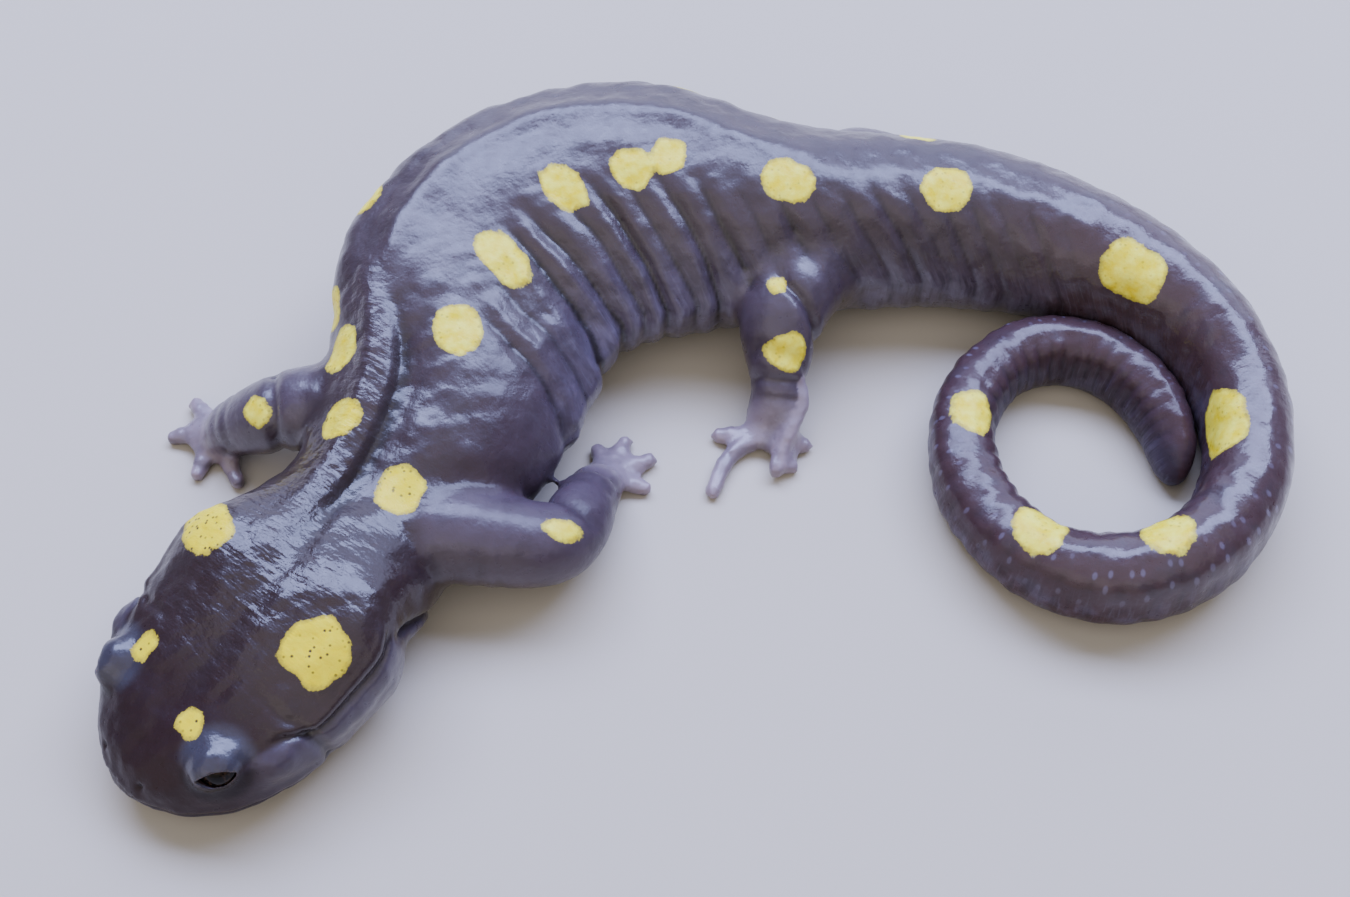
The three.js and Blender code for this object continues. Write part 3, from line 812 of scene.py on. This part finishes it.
spots = [  # place, angle, half length along the body, half width round it, turn, seed
    (7.8, 66, 1.3, 1.0, 10, 1), (6.2, 104, 1.15, 1.15, 0, 2),  # over the eyes
    (18.2, 50, 2.1, 3.0, 20, 3), (15.2, 124, 2.7, 2.45, 10, 4),  # behind the eyes
    (32.0, 66, 1.8, 1.9, 0, 5), (29.2, 114, 2.2, 1.9, 0, 6),
    (38.2, 50, 2.1, 1.7, 15, 7), (42.8, 32, 2.0, 1.9, 0, 8), (42.8, 112, 2.3, 2.1, 25, 9),
    (51.4, 46, 2.0, 1.5, 0, 10), (50.5, 125, 1.8, 2.9, 20, 11), (59.2, 119, 1.7, 2.5, -19, 12),
    (60.5, 34, 1.9, 1.8, 0, 26), (70.5, 38, 2.1, 1.9, 0, 27), (79.0, 36, 1.8, 1.6, 0, 28),
    (65.3, 117, 1.85, 2.0, 0, 13), (68.5, 111, 1.6, 1.75, 0, 14),
    (78.5, 109, 2.35, 2.0, 0, 15), (90.5, 50, 1.8, 1.5, 0, 16), (92.5, 108, 2.2, 2.2, 0, 17),
    (111.2, 127, 2.9, 2.35, 0, 18), (130.0, 142, 3.0, 2.6, -10, 19), (145.0, 115, 2.25, 1.95, 0, 20),
    (156.2, 102, 2.4, 2.0, 0, 21), (169.5, 107, 2.2, 1.8, 0, 22),
]
legSpots = [  # middle, normal, half sizes along and across the limb, seed
    ((-38.2, -1.2, 7.6), (-0.56, -0.45, 0.70), 1.5, 1.2, 30),
    ((-12.5, -12.9, 8.3), (-0.1, -0.3, 0.95), 1.4, 1.0, 31),
    ((5.0, 9.8, 10.7), (-0.1, -0.27, 0.96), 0.9, 0.9, 32),
    ((5.9, 5.2, 7.2), (0.45, -0.5, 0.70), 1.7, 1.75, 33),
]


def spotDepths(points, normals):  # 1.5 on a spot's edge, more inside it and 0 far from any spot
    nearest = np.full(len(points), 9.0)

    def addSpot(middle, forward, sideways, long, wide, turn, seed):
        random = np.random.default_rng(seed)
        outward = np.cross(sideways, forward)
        outward /= np.linalg.norm(outward)
        offset = points - middle
        index = np.flatnonzero((np.linalg.norm(offset, axis=1) < 1.8 * max(long, wide) + 1)
                               & (normals @ outward > 0.2))
        offset = offset[index]
        u, v = offset @ forward, offset @ sideways
        t = math.radians(turn)
        u, v = u * math.cos(t) + v * math.sin(t), v * math.cos(t) - u * math.sin(t)
        around = np.arctan2(v / wide, u / long)
        edge = np.ones(len(index))
        for k in range(2, 8):
            edge += random.uniform(0.01, 0.14) / k * np.cos(k * around + random.uniform(0, 6.28))
        power = random.uniform(2.1, 2.7)
        out = (np.abs(u / long) ** power + np.abs(v / wide) ** power) ** (1 / power)
        away = (out / edge - 1) * min(long, wide)
        nearest[index] = np.minimum(nearest[index], away)

    for place, angle, long, wide, turn, seed in spots:
        a = math.radians(angle)
        middle = bodyPoint(curled, place, a)
        forward = bodyPoint(curled, place + 0.4, a) - bodyPoint(curled, place - 0.4, a)
        sideways = bodyPoint(curled, place, a + 0.06) - bodyPoint(curled, place, a - 0.06)
        forward /= np.linalg.norm(forward)
        sideways -= forward * (sideways @ forward)
        addSpot(middle, forward, sideways / np.linalg.norm(sideways), long, wide, turn, seed)
    for middle, normal, long, wide, seed in legSpots:
        normal = np.array(normal) / np.linalg.norm(normal)
        level = np.cross((0, 0, 1.0), normal)
        level /= np.linalg.norm(level)
        addSpot(np.array(middle), level, np.cross(normal, level) * -1, long, wide, 0, seed)
    return np.maximum(0, 1.5 - nearest)


def paintAttributes(skin, body, creaseShade, phase):
    mesh = skin.data
    points, normals = rowsOf(mesh.vertices, "co"), rowsOf(mesh.vertex_normals, "vector")
    limb = legCoordinates(points)
    place, angle, height = body["place"], body["angle"], body["height"]
    onLimb = limb["near"] * smoothStep(0.0, 1.0, body["depth"])
    around = np.radians(angle - 90) * np.maximum(2.0, body["half"])
    along = np.minimum(place, 41) + 3 * np.maximum(phase, 0)  # follows the folds
    flow = np.stack([along, around, np.zeros(len(points))], -1) * mm
    fromBack = np.abs(angle - 90)
    edge = fromBack - throughStations(*zip(*head["jawEdge"]))(place)
    lid = sum(smoothStep(3.4, 2.5, eyeDistance(points, "eye", hand)[1]) for hand in (1, -1))
    lid = lid * smoothStep(7.2, 7.9, height)
    offLimb = 1 - onLimb
    beneath = smoothStep(92, 128, fromBack) * (1 - 0.65 * smoothStep(96, 120, place))
    low = 0.6 * smoothStep(6.0, 2.0, height) * smoothStep(8, 16, place) * smoothStep(112, 92, place)
    insideCurl = smoothStep(130, 150, place) * smoothStep(6, 3, height)
    glandRow = smoothStep(100, 116, place) * smoothStep(198, 190, place)
    beforeNeck = smoothStep(1.2, 0.4, place + 0.9 * (height - 8.3) - 19.0)
    crown = 0.6 * smoothStep(30, 24, place) * bump(angle, 88, 38) * smoothStep(6, 12, place)
    besideGroove = smoothStep(18, 24, place) * smoothStep(50, 42, place) * bump(angle, 68, 13)
    layers = {
        "spotDepth": spotDepths(points, normals),
        # painted shade: darker colour in the grooves, folds, tail rings, mouth line, nostrils and round the
        # eye openings
        "creaseShade": creaseShade,
        "lid": lid,
        # the flank mask carries a pale bluish tint that is partly the flank's own slate colour and partly a
        # painted reflection of a cool sky
        "flank": smoothStep(45, 95, fromBack) * smoothStep(32, 50, place) * offLimb,
        "belly": np.maximum(beneath, low) * offLimb,
        "wet": np.maximum(smoothStep(92, 112, place), smoothStep(48, 30, place)) * offLimb,
        "dry": np.maximum.reduce([
            smoothStep(100, 120, place) * smoothStep(8, 3.5, height) * offLimb,
            0.9 * smoothStep(13, 6, place) * (1 - lid),
            0.8 * bump(place, 36, 6) * smoothStep(112, 138, angle),
        ]),
        "tail": smoothStep(92, 112, place) * offLimb,
        "inner": insideCurl * smoothStep(98, 120, angle) * offLimb,
        "gland": glandRow * bump(angle, 48, 30) * offLimb,
        "all": np.ones(len(points)),
        "trunk": smoothStep(0.6, 0.1, onLimb),
        "limb": onLimb,
        "hand": onLimb * smoothStep(0.82, 0.98, limb["share"]),
        "digit": onLimb * smoothStep(1.3, 1.9, limb["share"]),
        "head": smoothStep(42, 24, place) * offLimb,
        "roughPatch": np.clip(crown + besideGroove, 0, 1) * offLimb,
        "jaw": smoothStep(0, 4, edge) * smoothStep(4, 9, place) * beforeNeck * offLimb,
    }
    for name, values in layers.items():
        layer = mesh.attributes.new(name, "FLOAT", "POINT")
        layer.data.foreach_set("value", values.astype(np.float32))
    layer = mesh.attributes.new("flow", "FLOAT_VECTOR", "POINT")
    layer.data.foreach_set("vector", flow.astype(np.float32).ravel())


def eyeAxes(hand):  # the eye's middle and the directions out of it, along it and up
    centre, heading = headPoint(head["eye"], hand)
    outward = Vector((-math.sin(heading) * hand, math.cos(heading) * hand, 0))
    forward = Vector((-math.cos(heading), -math.sin(heading), 0))
    turn, rise = (math.radians(head["slit"][key]) for key in ("forward", "rise"))
    level = outward * math.cos(turn) + forward * math.sin(turn)
    look = level * math.cos(rise) + Vector((0, 0, math.sin(rise)))
    along = (forward * math.cos(turn) - outward * math.sin(turn)).normalized()
    return centre, look, along, look.cross(along).normalized()


def cutWith(skin, name, shapeCutter):
    bm = bmesh.new()
    for hand in (1, -1):
        shapeCutter(bm, hand)
    cutter = makeObject(name, bm)
    mesh = cutter.data
    cut = skin.modifiers.new(name, "BOOLEAN")
    cut.operation = "DIFFERENCE"
    cut.solver = "EXACT"
    cut.object = cutter
    applyModifiers(skin)
    bpy.data.objects.remove(cutter)
    bpy.data.meshes.remove(mesh)


def shapeSocket(bm, hand):
    centre, heading = headPoint(head["eye"], hand)
    radius = head["eye"]["radius"] + head["socketGap"]
    addEgg(bm, centre, heading, (radius, radius, radius), 48)


def shapeSlit(bm, hand):  # almond-shaped: an egg narrowed to a point at both corners
    centre, look, along, upward = eyeAxes(hand)
    sizes = head["slit"]
    slit = bmesh.new()
    bmesh.ops.create_uvsphere(slit, u_segments=48, v_segments=32, radius=1)
    for vert in slit.verts:
        x, y, z = vert.co
        narrow = math.sqrt(max(0.0, 1 - x * x))
        reach = head["eye"]["radius"] + sizes["out"] + y * sizes["deep"]
        vert.co = centre + look * reach + along * (x * sizes["long"])
        vert.co += upward * (z * narrow * sizes["tall"])
    joinInto(bm, slit)


def makeSkin():
    skin = makeRawSkin()
    remeshSkin(skin)
    refineDetail(skin)
    print("skin remeshed:", len(skin.data.polygons), "faces")
    points, creaseShade, phase = layRelief(skin)
    points, body = curlTail(points)
    points[:, 2] = np.maximum(points[:, 2], 0)
    setPoints(skin.data, points)
    paintAttributes(skin, body, creaseShade, phase)
    cutWith(skin, "slit", shapeSlit)
    cutWith(skin, "socket", shapeSocket)
    bm = bmesh.new()  # clears the slivers and spare points that the cuts leave
    bm.from_mesh(skin.data)
    bmesh.ops.remove_doubles(bm, verts=bm.verts[:], dist=surface["sliver"])
    bmesh.ops.dissolve_degenerate(bm, dist=surface["sliver"] / 2, edges=bm.edges[:])
    bmesh.ops.dissolve_verts(bm, verts=[v for v in bm.verts if len(v.link_edges) == 2])
    bm.to_mesh(skin.data)
    bm.free()
    skin.data.transform(Matrix.Scale(mm, 4))
    for face in skin.data.polygons:
        face.use_smooth = True
    print("skin finished:", sum(len(face.vertices) - 2 for face in skin.data.polygons), "triangles")
    return skin


# moist amphibian skin: dark and smooth under a thin film of water, which gives it sharp highlights

wetSkin = {
    "back": "#3d3036", "yellow": "#ead200",
    "inYellow": (("paleness", "#f8f056"), ("rim", "#8a7a3a"), ("isPore", "#4a3c2c")),
    "pore": 0.55, "dot": 2.1,  # mm from one to the next
    "noises": {  # size of the features in mm, detail, stretch along the flow (none: in all directions)
        "broad": (2.6, 3, None), "medium": (0.9, 3, None), "fine": (0.4, 2, None), "grain": (0.17, 2, None),
        "streak": (0.62, 3, (1.0, 0.26, 0.4)), "thread": (0.3, 2, (1.0, 0.16, 0.4)),
    },
    "tints": [  # colour, where, broken up by, from, to, greatest share
        # the pale bluish flank tint is partly the flank's own slate colour and partly a painted reflection
        # of a cool sky
        ("#2a1b1d", "head", "broad", -1, 0, 0.95), ("#5b5265", "flank", "broad", -1, 0, 1.0),
        ("#463034", "tail", "broad", 0.25, 0.6, 0.95), ("#3d3a48", "inner", "broad", -1, 0, 0.5),
        ("#585663", "belly", "broad", -1, 0, 1.0), ("#453c46", "jaw", "broad", -1, 0, 1.0),
        ("#35333f", "lid", "broad", -1, 0, 0.9), ("#4a3e48", "limb", "broad", -1, 0, 0.85),
        ("#82747d", "hand", "broad", -1, 0, 1.0), ("#8f7e87", "digit", "broad", -1, 0, 1.0),
        ("#2a2026", "all", "broad", 0.44, 0.62, 0.3), ("#6e6775", "flank", "medium", 0.52, 0.72, 0.22),
        ("#281f25", "flank", "streak", 0.46, 0.66, 0.45), ("#716c80", "flank", "thread", 0.52, 0.7, 0.3),
        # the near-black tint on the crease mask is painted shade in the grooves, folds, mouth line,
        # nostrils and round the eyes
        ("#77718a", "gland", "dots", 0.17, 0.07, 0.42), ("#171114", "creaseShade", "broad", -1, 0, 0.9),
    ],
    "ragged": (("medium", 0.55), ("grain", 0.22)),  # what frays the edges of the spots, and how much
    "ranges": (  # name, made from, its lowest and highest value, what they become, how
        ("isSpot", "frayed", 1.86, 1.98, 0, 1, "SMOOTHSTEP"),
        ("rim", "frayed", 2.30, 1.96, 0, 0.6, "SMOOTHSTEP"),
        ("palest", "head", 0, 1, 1.0, 0.2, "LINEAR"),
        ("paleness", "medium", 0.35, 0.7, 0, "palest", "LINEAR"),
        ("pitted", "pores", 0.30, 0.12, 0, 1, "SMOOTHSTEP"),
        ("poreShare", "head", 0, 1, 0.35, 1.0, "LINEAR"),
        ("keptPores", "broad", 0.38, 0.54, 0, "poreShare", "LINEAR"),
        ("roughness", "medium", 0.3, 0.7, 0.26, 0.42, "LINEAR"),
        ("filmOnSkin", "dry", 0, 1, 0.85, 0.1, "LINEAR"),
        ("film", "isSpot", 0, 1, "filmOnSkin", 0.15, "LINEAR"),
        ("glossOnSkin", "dry", 0, 1, 0.5, 0.2, "LINEAR"),
        ("gloss", "isSpot", 0, 1, "glossOnSkin", 0.2, "LINEAR"),
        ("filmRoughness", "wet", 0, 1, 0.27, 0.14, "LINEAR"),
    ),
    "bumps": (  # height in mm where the skin is smooth and where it is rough
        ("medium", 0.065, 0.140), ("streak", 0.020, 0.200), ("fine", 0.012, 0.045), ("grain", 0.005, 0.012),
    ),
    "poreDepth": 0.02,
    "layers": (("skin", 1.0), ("water", 0.8)),  # share of the bumps
}


def skinPatterns(tree):  # what the skin's colour, gloss and bumps are made from, by name
    objectPlace = addNode(tree, "ShaderNodeTexCoord").outputs["Object"]
    flow = addNode(tree, "ShaderNodeAttribute", {"attribute_name": "flow"}).outputs["Vector"]
    painted = [tint[1] for tint in wetSkin["tints"]] + ["spotDepth", "roughPatch", "trunk", "wet", "dry"]
    values = {
        name: addNode(tree, "ShaderNodeAttribute", {"attribute_name": name}).outputs["Fac"]
        for name in dict.fromkeys(painted)
    }
    for name, (size, detail, stretch) in wetSkin["noises"].items():
        vector = objectPlace
        if stretch:
            vector = addNode(tree, "ShaderNodeMapping", {}, {"Vector": flow, "Scale": stretch}).outputs[0]
        values[name] = addNode(tree, "ShaderNodeTexNoise", {}, {
            "Vector": vector, "Scale": 1 / (size * mm), "Detail": detail}).outputs["Fac"]
        if stretch:
            values[name] = addNode(tree, "ShaderNodeMath", {"operation": "MULTIPLY"}, {
                0: values[name], 1: values["trunk"]}).outputs[0]
    values["dots"] = addNode(tree, "ShaderNodeTexVoronoi", {"voronoi_dimensions": "2D"}, {
        "Vector": flow, "Scale": 1 / (wetSkin["dot"] * mm), "Randomness": 0.8}).outputs["Distance"]
    values["pores"] = addNode(tree, "ShaderNodeTexVoronoi", {}, {
        "Vector": objectPlace, "Scale": 1 / (wetSkin["pore"] * mm)}).outputs["Distance"]

    values["frayed"] = values["spotDepth"]
    for pattern, share in wetSkin["ragged"]:
        values["frayed"] = addNode(tree, "ShaderNodeMath", {"operation": "MULTIPLY_ADD"}, {
            0: values[pattern], 1: share, 2: values["frayed"]}).outputs[0]
    for name, source, low, high, least, most, kind in wetSkin["ranges"]:
        values[name] = addNode(tree, "ShaderNodeMapRange", {"interpolation_type": kind}, {
            "Value": values[source], "From Min": low, "From Max": high,
            "To Min": values.get(least, least), "To Max": values.get(most, most)}).outputs[0]
    values["isPore"] = addNode(tree, "ShaderNodeMath", {"operation": "MULTIPLY"}, {
        0: values["pitted"], 1: values["keptPores"]}).outputs[0]
    return values


def skinColour(tree, values):  # yellow spots with ragged edges and dark pores, on skin tinted by place
    colour, yellow = toLinear(wetSkin["back"]), toLinear(wetSkin["yellow"])
    for tint, mask, pattern, low, high, most in wetSkin["tints"]:
        amount = addNode(tree, "ShaderNodeMapRange", {"interpolation_type": "SMOOTHSTEP"}, {
            "Value": values[pattern], "From Min": low, "From Max": high, "To Max": most})
        share = addNode(tree, "ShaderNodeMath", {"operation": "MULTIPLY"}, {
            0: amount.outputs[0], 1: values[mask]})
        colour = addNode(tree, "ShaderNodeMix", {"data_type": "RGBA"}, {
            0: share.outputs[0], 6: colour, 7: toLinear(tint)}).outputs[2]
    for share, tint in wetSkin["inYellow"]:
        yellow = addNode(tree, "ShaderNodeMix", {"data_type": "RGBA"}, {
            0: values[share], 6: yellow, 7: toLinear(tint)}).outputs[2]
    return addNode(tree, "ShaderNodeMix", {"data_type": "RGBA"}, {
        0: values["isSpot"], 6: colour, 7: yellow}).outputs[2]


def skinBumps(tree, values):  # most on the crown and beside the groove, less on the water than under it
    pit = addNode(tree, "ShaderNodeMath", {"operation": "MULTIPLY"}, {
        0: values["isPore"], 1: values["isSpot"]}).outputs[0]
    normals = {}
    for layer, share in wetSkin["layers"]:
        height = 0.0
        for pattern, smooth, rough in wetSkin["bumps"]:
            depth = addNode(tree, "ShaderNodeMapRange", {}, {
                "Value": values["roughPatch"],
                "To Min": smooth * share, "To Max": rough * share}).outputs[0]
            height = addNode(tree, "ShaderNodeMath", {"operation": "MULTIPLY_ADD"}, {
                0: values[pattern], 1: depth, 2: height}).outputs[0]
        height = addNode(tree, "ShaderNodeMath", {"operation": "MULTIPLY_ADD"}, {
            0: pit, 1: -wetSkin["poreDepth"], 2: height}).outputs[0]
        normals[layer] = addNode(tree, "ShaderNodeBump", {}, {
            "Height": height, "Strength": 1.0, "Distance": mm}).outputs[0]
    return normals


def wetSkinMaterial():
    material, tree = newMaterial("wetSalamanderSkin")
    values = skinPatterns(tree)
    colour = skinColour(tree, values)
    normals = skinBumps(tree, values)
    shader = addNode(tree, "ShaderNodeBsdfPrincipled", {}, {
        "Base Color": colour, "Roughness": values["roughness"], "IOR": 1.4, "Normal": normals["skin"],
        "Specular IOR Level": values["gloss"],
        "Coat Weight": values["film"], "Coat Roughness": values["filmRoughness"], "Coat IOR": 1.33,
        "Coat Normal": normals["water"],
        "Subsurface Weight": 0.06, "Subsurface Radius": (1.2, 0.5, 0.4), "Subsurface Scale": mm,
    })
    addNode(tree, "ShaderNodeOutputMaterial", {}, {"Surface": shader.outputs[0]})
    return material


cornea = {
    "pupil": "#0a0706", "iris": "#3a2a20", "streak": 0.3,  # size of the streaks in mm
    "roughness": 0.04, "ior": 1.376, "gloss": 0.25,
    "irisEdge": (0.80, 0.90), "pupilEdge": (0.94, 0.97),  # cosines of the angle off the eye's axis
}


def eyeMaterial():  # a near-black iris under a clear wet cornea
    material, tree = newMaterial("wetCornea")
    objectPlace = addNode(tree, "ShaderNodeTexCoord").outputs["Object"]
    streaks = addNode(tree, "ShaderNodeTexNoise", {}, {
        "Vector": objectPlace, "Scale": 1 / (cornea["streak"] * mm), "Detail": 2.0})
    streaky = addNode(tree, "ShaderNodeMapRange", {}, {
        "Value": streaks.outputs["Fac"], "From Min": 0.4, "From Max": 0.7})
    ring = addNode(tree, "ShaderNodeAttribute", {"attribute_name": "iris"}).outputs["Fac"]
    share = addNode(tree, "ShaderNodeMath", {"operation": "MULTIPLY"}, {0: streaky.outputs[0], 1: ring})
    colour = addNode(tree, "ShaderNodeMix", {"data_type": "RGBA"}, {
        0: share.outputs[0], 6: toLinear(cornea["pupil"]), 7: toLinear(cornea["iris"])})
    shader = addNode(tree, "ShaderNodeBsdfPrincipled", {}, {
        "Base Color": colour.outputs[2], "Roughness": cornea["roughness"], "IOR": cornea["ior"],
        "Specular IOR Level": cornea["gloss"],
    })
    addNode(tree, "ShaderNodeOutputMaterial", {}, {"Surface": shader.outputs[0]})
    return material


def plainMaterial(name, colour, roughness):
    material, tree = newMaterial(name)
    shader = addNode(tree, "ShaderNodeBsdfPrincipled", {}, {
        "Base Color": toLinear(colour), "Roughness": roughness})
    addNode(tree, "ShaderNodeOutputMaterial", {}, {"Surface": shader.outputs[0]})
    return material


def makeEye(name, hand, material):
    centre, look, along, upward = eyeAxes(hand)
    radius = head["eye"]["radius"]
    bm = bmesh.new()
    bmesh.ops.create_uvsphere(bm, u_segments=64, v_segments=40, radius=radius)
    turn = look.to_track_quat("Z", "Y").to_matrix().to_4x4()
    bmesh.ops.transform(bm, matrix=Matrix.Translation(centre) @ turn, verts=bm.verts[:])
    bmesh.ops.scale(bm, vec=(mm, mm, mm), verts=bm.verts[:])
    eye = makeObject(name, bm, smooth=True)
    mesh = eye.data
    cosine = (rowsOf(mesh.vertices, "co") / mm - np.array(centre)) @ np.array(look) / radius
    iris = smoothStep(*cornea["irisEdge"], cosine) * (1 - smoothStep(*cornea["pupilEdge"], cosine))
    mesh.attributes.new("iris", "FLOAT", "POINT").data.foreach_set("value", iris.astype(np.float32))
    mesh.materials.append(material)
    return eye


# the animal

skin = makeSkin()
skin.name = "salamander_skin"
skin.data.materials.clear()
skin.data.materials.append(wetSkinMaterial())
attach(skin, "root")
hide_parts(*[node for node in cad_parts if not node.endswith("eye")])

corneas = eyeMaterial()
for name, hand in (("right_eye", 1), ("left_eye", -1)):
    eye = makeEye(name + "_ball", hand, corneas)
    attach(eye, "root")
    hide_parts(name)
print("eyes made")


# studio: pale floor, soft lights, camera

studio = {
    "floor": "#bdb5a7", "floorSize": 6.0,
    "sky": "#e8ebf6", "skyStrength": 0.30,
    "aim": (-0.00365, 0.00012, 0.0),
    "camera": (-0.00365, -0.08158, 0.1258),
    "lens": 46.13, "sensor": 36, "clip": (0.005, 20),
    "lights": [  # name, place, width, height, power in watts, colour
        ("window", (0.05, 0.300, 0.532), 0.96, 0.30, 16.5, "#b6c4ff"),
        ("back", (0.25, 1.0, 0.38), 1.80, 0.60, 9.0, "#c4ceff"),
        ("overhead", (0.0, -0.50, 0.85), 1.90, 1.20, 5.4, "#fff6ec"),
        ("front", (-0.40, -0.70, 0.35), 1.40, 0.90, 2.4, "#fff4e8"),
    ],
}


def makeFloor():
    bm = bmesh.new()
    bmesh.ops.create_grid(bm, x_segments=1, y_segments=1, size=studio["floorSize"] / 2)
    floor = makeObject("floor", bm)
    floor.data.materials.append(plainMaterial("palePaper", studio["floor"], 0.9))


def aimAt(obj, place, target):
    obj.location = place
    obj.rotation_euler = (Vector(target) - Vector(place)).to_track_quat("-Z", "Y").to_euler()


def makeLights():
    world = bpy.data.worlds.new("studio")
    bpy.context.scene.world = world
    world.use_nodes = True
    background = world.node_tree.nodes["Background"]
    background.inputs["Color"].default_value = toLinear(studio["sky"])
    background.inputs["Strength"].default_value = studio["skyStrength"]
    for name, place, width, height, power, colour in studio["lights"]:
        data = bpy.data.lights.new(name, "AREA")
        data.shape = "RECTANGLE"
        data.size, data.size_y = width, height
        data.energy = power
        data.color = toLinear(colour)[:3]
        light = bpy.data.objects.new(name, data)
        bpy.context.scene.collection.objects.link(light)
        aimAt(light, place, (0, 0, 0))


def makeCamera():
    data = bpy.data.cameras.new("camera")
    data.lens = studio["lens"]
    data.sensor_width = studio["sensor"]
    data.clip_start, data.clip_end = studio["clip"]
    camera = bpy.data.objects.new("camera", data)
    bpy.context.scene.collection.objects.link(camera)
    aimAt(camera, studio["camera"], studio["aim"])
    bpy.context.scene.camera = camera


makeFloor()
makeLights()
makeCamera()
print("studio made")
